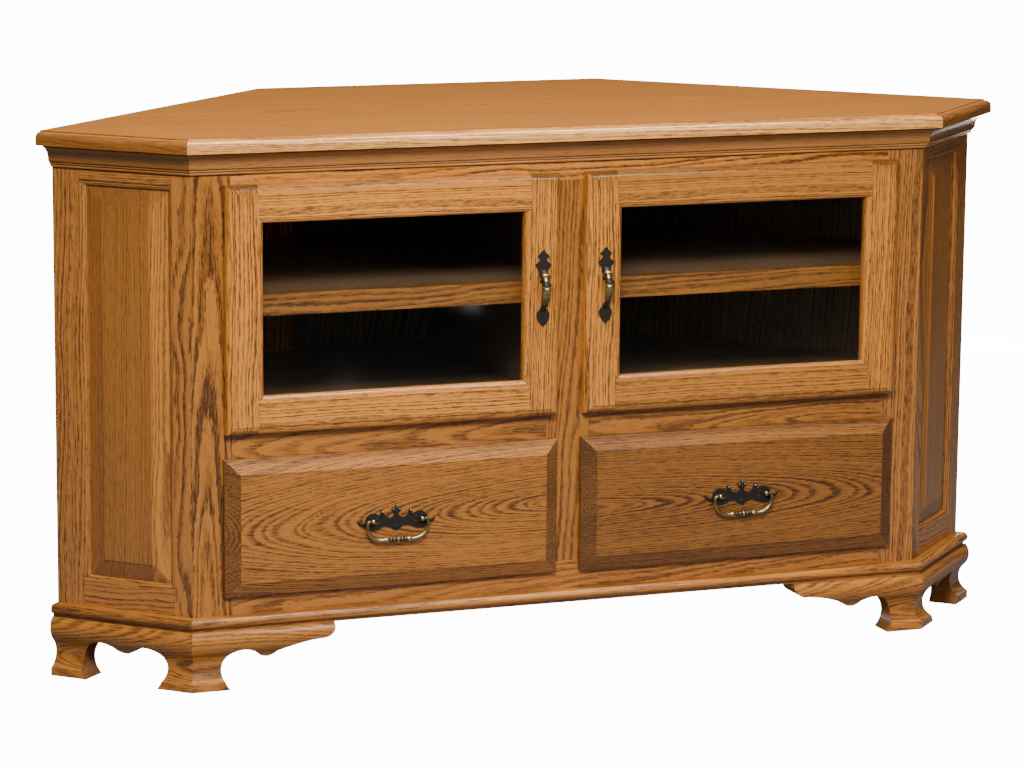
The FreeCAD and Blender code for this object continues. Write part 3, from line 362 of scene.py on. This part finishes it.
back_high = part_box("back_panel_centre")[1]
wing_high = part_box("back_panels_angled")[1]
deck_rows = [sum(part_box(deck)[end][2] for end in (0, 1)) / 2 for deck in ("bottom_deck", "middle_deck")]
post_rows = [0.20, 0.29, 0.46, 0.56, 0.66, 0.745]
post_inset = 0.018
back_screws = []
for side in (-1, 1):
    corner = Vector((side * back_high[0], back_high[1], 0))
    along = Vector((side * diagonal, -diagonal, 0))
    outwards = (side * diagonal, diagonal, 0)
    length = (wing_high[0] - back_high[0]) / diagonal
    for z in deck_rows:
        for x in (0.08, 0.20):
            back_screws.append(((side * x, back_high[1], z), (0, 1, 0)))
        for share in (0.15, 0.38, 0.62, 0.85):
            back_screws.append((corner + along * share * length + Vector((0, 0, z)), outwards))
    for z in post_rows:
        back_screws.append(((corner.x - side * post_inset, back_high[1], z), (0, 1, 0)))
        for reach in (post_inset, length - post_inset):
            back_screws.append((corner + along * reach + Vector((0, 0, z)), outwards))
drive("back_panel_screws", back_screws, "carcase", zinc)

# Face frame. Solid oak stiles, rails and a middle mullion, tenoned together and glued to the front of the
# carcase; the left stile shows tall arches of flat-sawn grain and the others are straighter.
bark = (0.085, 0.029, 0.007)
dress(oak(
    "oak_stile_left", (0, 0, 1), (-0.543, -0.259, 0.3), (0, -0.04, 0.005), ring=0.006, tint=0.88, dark=bark
), "face_stile_left")
dress(oak("oak_stile_right", (0, 0, 1), (0.45, -0.16, 0.4), (0, 0.01, 0.01), **umber), "face_stile_right")
dress(oak(
    "oak_mullion", (0, 0, 1), (0.03, -0.23, 0.4), (0, -0.02, 0.03), tint=0.82, dark=soft_brown
), "face_mullion")
straw = (0.68, 0.252, 0.040)
dress(oak("oak_rail_top", (1, 0, 0), (0.0, -0.22, 0.70), (0, 0.02, 0.01), pale=straw), "face_rail_top")
dress(oak(
    "oak_rails_middle", (1, 0, 0), (0.0, -0.255, 0.34), (0, 0.05, 0.02), wander=0.04, tint=0.94,
    dark=soft_brown,
), "face_rails_middle")
dress(oak(
    "oak_rail_bottom", (1, 0, 0), (0.0, -0.20, 0.09), (0, 0.03, 0.01), ring=0.0034, dark=soft_brown
), "face_rail_bottom")

# Crown moulding and top. The mitred crown is a cove over two beads, its stain dark in the quirks, partly as
# painted shade, and a painted highlight on the crests. The top is a veneered board with a polished moulded
# band of solid oak on the front and canted edges, and square back edges without a top coat.
amber = (0.395, 0.157, 0.036)
bead_height = 0.0044
crest_highlight_tint = 1.7
crown_cuts = (
    ("front", (1, 0, 0), (0.0, -0.15, 0.66), False),
    ("ends", (1, 1, 0), (0.5, -0.02, 0.66), True),
)
for length, grain, heart, both in crown_cuts:
    crown, tree, shader = new_finish(f"oak_crown_{length}")
    cut = sawn(tree, grain, heart, pale=amber, dark=tawny, both=both)
    # Painted highlight: a lighter copy of the grain, laid on the bead crests.
    worn_and_lit = sawn(tree, grain, heart, pale=amber, dark=tawny, both=both, tint=crest_highlight_tint)
    crown_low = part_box(f"crown_{length}")[0][2]
    height = put(tree, "SeparateXYZ", {0: put(tree, "TexCoord").outputs["Object"]}).outputs["Z"]
    beads_up = calc(tree, "DIVIDE", calc(tree, "SUBTRACT", height, crown_low), bead_height)
    from_crest = calc(tree, "ABSOLUTE", calc(tree, "SUBTRACT", calc(tree, "FRACT", beads_up), 0.5))
    on_bead = ramp(tree, beads_up, 1.95, 2.0, 1.0, 0.0)
    near_bead = ramp(tree, beads_up, 2.3, 2.4, 1.0, 0.0)
    rubbed_and_lit = calc(tree, "MULTIPLY", ramp(tree, from_crest, 0.2, 0.38, 1.0, 0.0), on_bead)
    # Dark stain in the quirks at and between the beads, partly painted shade.
    stain_and_shade = calc(tree, "MULTIPLY", ramp(tree, from_crest, 0.3, 0.46, 0.0, 0.8), near_bead)
    color = mixed(tree, rubbed_and_lit, cut.outputs["Color"], worn_and_lit.outputs["Color"])
    color = mixed(tree, stain_and_shade, color, (*brown, 1))
    lacquer(tree, shader, color, cut.outputs["Roughness"], cut.outputs["Height"])
    dress(crown, f"crown_{length}")

veneered_top, tree, shader = new_finish("oak_top")
facing = put(tree, "SeparateXYZ", {0: put(tree, "TexCoord").outputs["Normal"]})
on_edge = ramp(tree, facing.outputs["Z"], 0.96, 0.9, 0.0, 1.0)
on_cant = ramp(tree, calc(tree, "ABSOLUTE", facing.outputs["X"]), 0.04, 0.08, 0.0, 1.0)
ginger = {"pale": (0.60, 0.218, 0.034), "dark": (0.42, 0.142, 0.021)}
# Painted highlight and shade: the front band far paler, the canted bands darker, partly wood tone as well.
wheat_and_highlight = (0.86, 0.38, 0.10)
veneer = sawn(tree, (1, 0, 0), (0.0, 0.0, 0.68), (0, 0.02, 0.02), **ginger)
front_band = sawn(tree, (1, 0, 0), (0.0, -0.27, 0.60), (0, 0.02, 0.03), pale=wheat_and_highlight, dark=tawny)
cant_band = sawn(tree, (1, 1, 0), (0.6, -0.10, 0.72), (0, 0.06, 0.06), dark=tawny, both=True, tint=0.78)
band = mixed(tree, on_cant, front_band.outputs["Color"], cant_band.outputs["Color"])
lacquer(
    tree, shader, mixed(tree, on_edge, veneer.outputs["Color"], band),
    veneer.outputs["Roughness"], veneer.outputs["Height"],
)
flat_coat = 0.3
edge_coat = ramp(tree, facing.outputs["Y"], 0.1, 0.3, 1.0 - flat_coat, -flat_coat)
tree.links.new(calc(tree, "MULTIPLY_ADD", on_edge, edge_coat, flat_coat), shader.inputs["Coat Weight"])
dress(veneered_top, "top_panel")

# Shelves. Each bay has one loose plywood shelf, coloured dark as painted shade, with a solid oak nosing
# glued to its front edge, resting on zinc-plated steel pins.
shelf, tree, shader = new_finish("oak_nosed_shelf")
depth = put(tree, "SeparateXYZ", {0: put(tree, "TexCoord").outputs["Object"]}).outputs["Y"]
nosing_depth = 0.018
glue_line = 0.0006
nosing_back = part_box("shelf_left")[0][1] + nosing_depth
behind = ramp(tree, depth, nosing_back, nosing_back + glue_line, 0.0, 1.0)
nosing = sawn(tree, (1, 0, 0), (0.0, -0.17, 0.50), (0, 0.02, 0.01), tint=0.42)
# Painted shade: the shelf behind the nosing takes the dark interior browns.
ply = sawn(tree, (1, 0, 0), (0.0, 0.05, 0.45), (0, 0.05, 0.05), pale=painted_shade_pale, dark=painted_shade_dark)
lacquer(
    tree, shader, mixed(tree, behind, nosing.outputs["Color"], ply.outputs["Color"]),
    nosing.outputs["Roughness"], nosing.outputs["Height"],
)
dress(shelf, "shelf_left", "shelf_right")
dress(zinc, "shelf_pins")

# Doors. Oak stiles and rails with a rounded outer edge and a small step round the glass, coped together, and
# thin oak beads that hold the pane from behind.
for side, x, tint, rail_dark in (("left", -0.27, 1.1, brown), ("right", 0.27, 0.82, soft_brown)):
    dress(oak(
        f"oak_door_stiles_{side}", (0, 0, 1), (x - 0.1, -0.15, 0.5), (0, 0.01, 0.01), ring=0.0034, pale=straw
    ), f"door_{side}_stiles")
    dress(oak(
        f"oak_door_rails_{side}", (1, 0, 0), (x, -0.19, 0.53), (0, 0.01, 0.01), ring=0.005, tint=tint,
        pale=straw, dark=rail_dark,
    ), f"door_{side}_rails", f"door_{side}_glass_beads")

# Door panes. Clear float glass, 4 mm thick, cut to the rebate behind each door frame and held there by the
# beads, with the faint smears of a wiped pane.
pane, tree, shader = new_finish("clear_glass")
smear = stretched(tree, put(tree, "TexCoord").outputs["Object"], (14, 14, 30), 3.0).outputs["Fac"]
tree.links.new(ramp(tree, smear, 0.45, 0.75, 0.0, 0.03), shader.inputs["Roughness"])
shader.inputs["Base Color"].default_value = (0.92, 0.95, 0.94, 1)
shader.inputs["IOR"].default_value = 1.2
shader.inputs["Transmission Weight"].default_value = 1.0
light_path = put(tree, "LightPath")
clear = put(tree, "BsdfTransparent")
in_shadow = light_path.outputs["Is Shadow Ray"]
lit = put(tree, "MixShader", {0: in_shadow, 1: shader.outputs[0], 2: clear.outputs[0]})
tree.links.new(lit.outputs[0], tree.nodes["Material Output"].inputs["Surface"])
dress(pane, "door_left_glass", "door_right_glass")

# Door hinges. Two small brass butt hinges on each door, a leaf let into the door's back and a leaf wrapped
# round the face frame, each held by two countersunk screws.
patina, metal, tarnish = new_group(
    "brass_patina",
    [("Vector", "Vector"), ("Rub", "Float")],
    [("Color", "Color"), ("Roughness", "Float"), ("Metallic", "Float"), ("Height", "Float")],
)
smoked = stretched(patina, metal.outputs["Vector"], (260, 260, 260), 3.0).outputs["Fac"]
speck = stretched(patina, metal.outputs["Vector"], (1500, 1500, 1500), 2.0).outputs["Fac"]
bare = calc(patina, "ADD", metal.outputs["Rub"], calc(patina, "MULTIPLY_ADD", smoked, 0.7, -0.35))
bare = calc(patina, "ADD", bare, calc(patina, "MULTIPLY_ADD", speck, 0.3, -0.15))
bare = ramp(patina, bare, 0.2, 0.85, 0.0, 1.0)
smoked_brass = (0.020, 0.016, 0.010, 1)
bare_brass = (0.50, 0.37, 0.17, 1)
brass_color = mixed(patina, bare, smoked_brass, bare_brass)
patina.links.new(brass_color, tarnish.inputs["Color"])
patina.links.new(ramp(patina, bare, 0.0, 1.0, 0.5, 0.32), tarnish.inputs["Roughness"])
patina.links.new(ramp(patina, bare, 0.0, 0.4, 0.35, 1.0), tarnish.inputs["Metallic"])
patina.links.new(speck, tarnish.inputs["Height"])


def brass(name, rubbed_and_lit):
    material, tree, shader = new_finish(name)
    point = put(tree, "TexCoord").outputs["Object"]
    worn_and_lit = put(tree, "Group", {"Vector": point, "Rub": rubbed_and_lit(tree, point)}, node_tree=patina)
    bump = put(tree, "Bump", {"Strength": 0.2, "Distance": 0.0002, "Height": worn_and_lit.outputs["Height"]})
    for socket in ("Color", "Roughness", "Metallic"):
        tree.links.new(worn_and_lit.outputs[socket], shader.inputs["Base Color" if socket == "Color" else socket])
    tree.links.new(bump.outputs["Normal"], shader.inputs["Normal"])
    return material


hinge_brass = brass("hinge_brass", lambda tree, point: 0.6)
dress(
    hinge_brass, "door_left_hinge_leaves", "door_right_hinge_leaves",
    "hinge_frame_leaves_left", "hinge_frame_leaves_right",
)
hinge_rows = [0.426, 0.6595]
screw_rise = 0.012
leaf_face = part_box("hinge_frame_leaves_right")[0][0]
leaf_middle = -0.2735
door_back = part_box("door_right_stiles")[1][1]
sink = 0.0009
heights = [row + side * screw_rise for row in hinge_rows for side in (-1, 1)]
frame_spots = [
    ((side * (leaf_face + sink), leaf_middle, z), (-side, 0, 0)) for side in (-1, 1) for z in heights
]
drive("hinge_frame_screws", frame_spots, "carcase", hinge_brass)

# Door pulls. Cast brass with a dark patina: a pointed leaf at the top, a collar and ferrule, and a bowed
# shank down to a spade, bright with wear where it stands out and fixed by two screws from inside the door;
# the shank, ferrule and collar carry a painted highlight and the neck under the collar a painted shadow.
door_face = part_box("door_right_stiles")[0][1]


def pull_rub_and_light(tree, point):
    place = put(tree, "SeparateXYZ", {0: point})
    # Painted highlight on the shank, brighter towards its top, and on the ferrule and collar.
    shank = ramp(tree, place.outputs["Z"], 0.520, 0.546, 0.0, 0.62)
    # Painted shadow on the neck under the collar.
    neck = ramp(tree, place.outputs["Z"], 0.558, 0.562, 0.0, 1.0)
    collar = ramp(tree, place.outputs["Z"], 0.566, 0.569, 0.0, 1.0)
    leaf = ramp(tree, place.outputs["Z"], 0.576, 0.578, 0.0, 1.0)
    ferrule = ramp(tree, place.outputs["Z"], 0.549, 0.550, 0.0, 0.35)
    rubbed_and_lit = calc(tree, "SUBTRACT", calc(tree, "ADD", shank, ferrule), neck)
    rubbed_and_lit = calc(tree, "ADD", rubbed_and_lit, calc(tree, "SUBTRACT", collar, leaf))
    proud = ramp(tree, place.outputs["Y"], door_face - 0.003, door_face - 0.008, 0.0, 1.0)
    return calc(tree, "MULTIPLY", rubbed_and_lit, proud)


pull_brass = brass("door_pull_brass", pull_rub_and_light)
dress(pull_brass, "door_left_pull", "door_right_pull")
pull_x = 0.0485
pull_screws = [0.515, 0.593]
leaf_x = 0.4985
for side, sign in (("left", -1), ("right", 1)):
    spots = [((sign * pull_x, door_back, z), (0, 1, 0)) for z in pull_screws]
    spots += [((sign * leaf_x, door_back - sink, z), (0, 1, 0)) for z in heights]
    drive(f"door_{side}_screws", spots, f"door_{side}", hinge_brass)

# Drawer fronts. Solid oak boards with a wide raised bevel on all four sides, cut flat sawn so that their
# arches point outwards, and screwed to the drawer boxes from inside.
dress(oak(
    "oak_drawer_left", (1, 0, 0), (-0.27, -0.2656, 0.232), (0, 0.14, -0.03), ring=0.0028, wander=0.012,
    tint=0.83,
), "drawer_left_front")
dress(oak(
    "oak_drawer_right", (1, 0, 0), (0.27, -0.2777, 0.226), (0, -0.09, 0.0), ring=0.0028, wander=0.012,
    tint=0.58,
), "drawer_right_front")

# Drawer boxes and slides. Pale maple sides round a thin maple bottom, on telescopic slides of zinc-plated
# steel, one member on the box and one on the divider.
cream = (0.60, 0.40, 0.20)
biscuit = (0.42, 0.25, 0.11)
maple = oak("drawer_maple", (0, 1, 0), (0.0, 0.0, 0.0), ring=0.003, pale=cream, dark=biscuit)
for side in ("left", "right"):
    dress(maple, f"drawer_{side}_box", f"drawer_{side}_bottom")
    dress(zinc, f"drawer_{side}_slide_members")
dress(zinc, "slide_cabinet_members")

# Drawer pulls. A cast backplate with a finial and scrolled horns carries two posts, and a bail with turned
# rings swings in them. The plate is almost black, its posts, scrolls and the bail are bright with wear, and
# its upper part carries a painted highlight.
pull_middle = 0.2705
post_z = 0.231
post_reach = 0.037
plate_thickness = 0.0025
plate_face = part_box("drawer_right_front")[0][1] - plate_thickness
box_wall = 0.012


def plate_rub_and_highlight(tree, point):
    place = put(tree, "SeparateXYZ", {0: point})
    posts = ramp(tree, place.outputs["Y"], plate_face - 0.001, plate_face - 0.006, 0.0, 0.9)
    # Painted highlight on the upper part of the plate, towards the finial and horn tips.
    tip_highlight = ramp(tree, place.outputs["Z"], post_z + 0.011, post_z + 0.019, 0.0, 0.5)
    return calc(tree, "MAXIMUM", posts, tip_highlight)


def rubbed_scrolls(tree, point):
    out = put(tree, "SeparateXYZ", {0: point}).outputs["Y"]
    return ramp(tree, out, plate_face - 0.0007, plate_face - 0.0018, 0.05, 0.95)


bail_forward = 0.006
bail_drop = 0.028
bail_y = plate_face - bail_forward
bail_low = post_z - bail_drop


def rubbed_bail(tree, point):
    place = put(tree, "SeparateXYZ", {0: point})
    off_middle = calc(tree, "SUBTRACT", calc(tree, "ABSOLUTE", place.outputs["X"]), pull_middle)
    off_middle = calc(tree, "ABSOLUTE", off_middle)
    radius = put(tree, "VectorMath", {
        0: aim(tree, "MULTIPLY", aim(tree, "SUBTRACT", point, (0, bail_y, bail_low)), (0, 1, 1)),
    }, operation="LENGTH").outputs["Value"]
    rings = ramp(tree, radius, 0.0027, 0.0038, 0.05, 0.5)
    middle_ring = ramp(tree, off_middle, 0.0012, 0.0024, 0.5, 0.0)
    on_arms = ramp(tree, off_middle, 0.0130, 0.0145, 0.0, 0.75)
    ends = ramp(tree, place.outputs["Z"], post_z - 0.014, post_z - 0.004, 1.0, 0.2)
    arms = calc(tree, "MULTIPLY", on_arms, ends)
    return calc(tree, "MAXIMUM", calc(tree, "ADD", rings, middle_ring), arms)


plate_brass = brass("pull_plate_brass", plate_rub_and_highlight)
bail_brass = brass("bail_brass", rubbed_bail)
scroll_brass = brass("scroll_brass", rubbed_scrolls)
bpy.ops.object.select_all(action="DESELECT")
bpy.ops.mesh.primitive_uv_sphere_add(segments=20, ring_count=12, radius=1)
boss = bpy.context.object
bpy.ops.object.mode_set(mode="EDIT")
bpy.ops.mesh.select_all(action="SELECT")
bpy.ops.mesh.bisect(plane_co=(0, 0.3, 0), plane_no=(0, 1, 0), use_fill=True, clear_outer=True)
bpy.ops.object.mode_set(mode="OBJECT")
bpy.ops.object.shade_smooth_by_angle(angle=math.radians(40))
# Raised bosses as (across, up, half width, half height, rise, turn), in millimetres and degrees
bosses = [
    (0.0, 19.4, 1.5, 3.4, 2.2, 0),
    (4.8, 15.2, 2.0, 1.7, 1.7, 0),
    (-4.8, 15.2, 2.0, 1.7, 1.7, 0),
    (0.0, 11.8, 1.7, 2.2, 1.2, 0),
    (0.0, -10.6, 2.6, 3.2, 0.7, 0),
]
for way in (-1, 1):
    bosses += [
        (way * 21.2, 12.2, 2.1, 2.1, 2.2, 0),
        (way * 22.6, 7.2, 1.5, 3.2, 1.0, way * 8),
        (way * 30.0, 2.0, 2.6, 1.5, 0.9, way * 40),
        (way * 29.0, -5.0, 4.2, 1.6, 0.8, way * 25),
        (way * 44.5, -4.4, 3.0, 1.8, 0.9, way * 20),
        (way * 50.5, -3.2, 3.0, 1.7, 1.1, way * 5),
        (way * 56.4, 0.0, 2.0, 1.1, 1.4, way * -40),
    ]
for side, sign in (("left", -1), ("right", 1)):
    dress(plate_brass, f"drawer_{side}_pull_plate")
    dress(bail_brass, f"drawer_{side}_bail")
    raised = []
    for across, up, half_width, half_height, rise, degrees in bosses:
        scroll = boss.copy()
        scroll.data = boss.data.copy()
        bpy.context.scene.collection.objects.link(scroll)
        grow = Matrix.Diagonal((half_width / 1000, rise / 1000, half_height / 1000, 1))
        turn = Matrix.Rotation(math.radians(degrees), 4, "Y")
        spot = Vector((sign * pull_middle + across / 1000, plate_face, post_z + up / 1000))
        scroll.data.transform(Matrix.Translation(spot) @ turn @ grow)
        scroll.data.materials.append(scroll_brass)
        raised.append(scroll)
    bpy.ops.object.select_all(action="DESELECT")
    for scroll in raised:
        scroll.select_set(True)
    bpy.context.view_layer.objects.active = raised[0]
    bpy.ops.object.join()
    raised[0].name = f"drawer_{side}_pull_scrolls"
    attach(raised[0], f"drawer_{side}")
    box_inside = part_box(f"drawer_{side}_box")[0][1] + box_wall
    bolts = [((sign * pull_middle + way * post_reach, box_inside, post_z), (0, 1, 0)) for way in (-1, 1)]
    drive(f"drawer_{side}_pull_bolts", bolts, f"drawer_{side}", zinc)
bpy.data.objects.remove(boss)
bpy.data.objects.remove(screw_head)

# Floor. A plain pale studio floor of matt board, level under the feet. Its glow shows only in direct sight
# and close behind a pane, so it reads white and throws no light on the cabinet.
bpy.ops.object.select_all(action="DESELECT")
floor_width = 120
bpy.ops.mesh.primitive_plane_add(size=floor_width)
floor = bpy.context.object
floor.name = "floor"
pale_floor, tree, shader = new_finish("pale_floor")
shader.inputs["Base Color"].default_value = (0.18, 0.18, 0.18, 1)
shader.inputs["Roughness"].default_value = 0.9
shader.inputs["Specular IOR Level"].default_value = 0.1
shader.inputs["Emission Color"].default_value = (1, 1, 1, 1)
glow = 14.0
sight_past_pane = 2.6
light_path = put(tree, "LightPath")
bounces = calc(tree, "ADD", light_path.outputs["Diffuse Depth"], light_path.outputs["Glossy Depth"])
unbounced = calc(tree, "LESS_THAN", bounces, 0.5)
nearby = calc(tree, "LESS_THAN", light_path.outputs["Ray Length"], sight_past_pane)
through_pane = calc(tree, "MULTIPLY", light_path.outputs["Is Transmission Ray"], unbounced)
through_pane = calc(tree, "MULTIPLY", through_pane, nearby)
seen = calc(tree, "MAXIMUM", light_path.outputs["Is Camera Ray"], through_pane)
tree.links.new(calc(tree, "MULTIPLY", seen, glow), shader.inputs["Emission Strength"])
floor.data.materials.append(pale_floor)

# Light. A soft box above the front and to the left, a long strip over the front edge, a weak fill from the
# front right and a low soft box behind each wall side of the back.
world = bpy.data.worlds.new("studio")
world.use_nodes = True
surround = world.node_tree.nodes["Background"]
surround.inputs["Color"].default_value = (1, 1, 1, 1)
surround.inputs["Strength"].default_value = 0.05
bpy.context.scene.world = world


def softbox(name, place, target, width, height, watts):
    data = bpy.data.lights.new(name, "AREA")
    data.shape = "RECTANGLE"
    data.size = width
    data.size_y = height
    data.energy = watts
    box = bpy.data.objects.new(name, data)
    bpy.context.scene.collection.objects.link(box)
    box.location = place
    box.rotation_euler = (Vector(target) - Vector(place)).to_track_quat("-Z", "Y").to_euler()
    box.visible_camera = False
    box.visible_transmission = False


softbox("key", (-0.8, -2.2, 1.95), (0, -0.2, 0.4), 0.8, 0.5, 72)
softbox("overhead", (0.0, -0.65, 2.6), (0, -0.3, 0.7), 2.4, 0.12, 70)
softbox("fill", (0.85, -2.5, 1.75), (0.2, -0.2, 0.4), 0.9, 0.7, 19)
softbox("back_left", (-1.9, 2.1, 0.16), (-0.2, 0.2, 0.38), 1.4, 0.28, 32)
softbox("back_right", (1.9, 2.1, 0.16), (0.2, 0.2, 0.38), 1.4, 0.28, 32)

# Camera. A long lens from the front left, a little above the top, turned so that the uprights lean as little
# as they do from that height.
yaw = math.radians(20.906)
pitch_down = math.radians(10.404)
roll = math.radians(0.494)
ahead = Vector((math.sin(yaw), math.cos(yaw), 0))
level = Vector((math.cos(yaw), -math.sin(yaw), 0))
forward = ahead * math.cos(pitch_down) + Vector((0, 0, -math.sin(pitch_down)))
upright = level.cross(forward)
right = level * math.cos(roll) + upright * math.sin(roll)
up = upright * math.cos(roll) - level * math.sin(roll)
lens = bpy.data.cameras.new("camera")
lens.sensor_width = 36
lens.lens = 131.8
lens.clip_end = 100
camera = bpy.data.objects.new("camera", lens)
bpy.context.scene.collection.objects.link(camera)
aimed = Matrix((right, up, -forward)).transposed().to_4x4()
stand = Vector((-1.98775, -5.25810, 1.39153))
camera.matrix_world = Matrix.Translation(stand) @ aimed
bpy.context.scene.camera = camera
